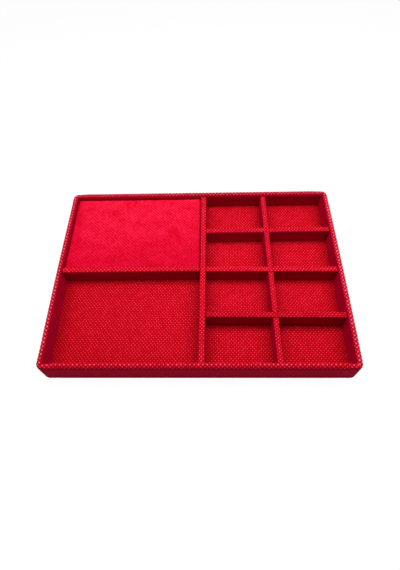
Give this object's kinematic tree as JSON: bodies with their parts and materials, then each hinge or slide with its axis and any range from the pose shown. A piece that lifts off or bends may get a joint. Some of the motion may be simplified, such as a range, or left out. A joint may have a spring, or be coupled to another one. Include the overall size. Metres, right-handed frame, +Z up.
{
  "type": "drawer jewelry organizer",
  "caption": "Shallow cloth-covered drawer tray with small open cells, a large open pocket and a pocket filled by a lift-out padded insert.",
  "frame": {"origin": "middle of the underside, on the surface that the tray stands on", "axes": "+X to the right along the long side, +Y to the rear, +Z up out of the cells"},
  "size_m": [0.35, 0.25, 0.035],
  "materials": {
    "red_cloth": "matte",
    "pad_cloth": "matte",
    "fibreboard": "matte",
    "grey_card": "matte",
    "white_foam": "matte",
    "black_felt": "matte"
  },
  "bodies": {
    "tray": {"base_cover": "black_felt", "base_board": "fibreboard", "front_wall_board": "fibreboard", "rear_wall_board": "fibreboard", "left_wall_board": "fibreboard", "right_wall_board": "fibreboard", "wall_wrap": "red_cloth", "floor_card": "grey_card", "floor_foam": "white_foam", "floor_cloth": "red_cloth", "main_divider_board": "fibreboard", "main_divider_wrap": "red_cloth", "left_divider_board": "fibreboard", "left_divider_wrap": "red_cloth", "column_divider_board": "fibreboard", "column_divider_wrap": "red_cloth", "cross_divider_1_board": "fibreboard", "cross_divider_1_wrap": "red_cloth", "cross_divider_2_board": "fibreboard", "cross_divider_2_wrap": "red_cloth", "cross_divider_3_board": "fibreboard", "cross_divider_3_wrap": "red_cloth"},
    "pad": {"pad_card": "grey_card", "pad_foam": "white_foam", "pad_cover": "pad_cloth"}
  },
  "joints": [
    {"name": "pad_lift", "type": "slide", "parent": "tray", "child": "pad", "axis": [0, 0, 1], "range_m": [0, 0.03]}
  ]
}
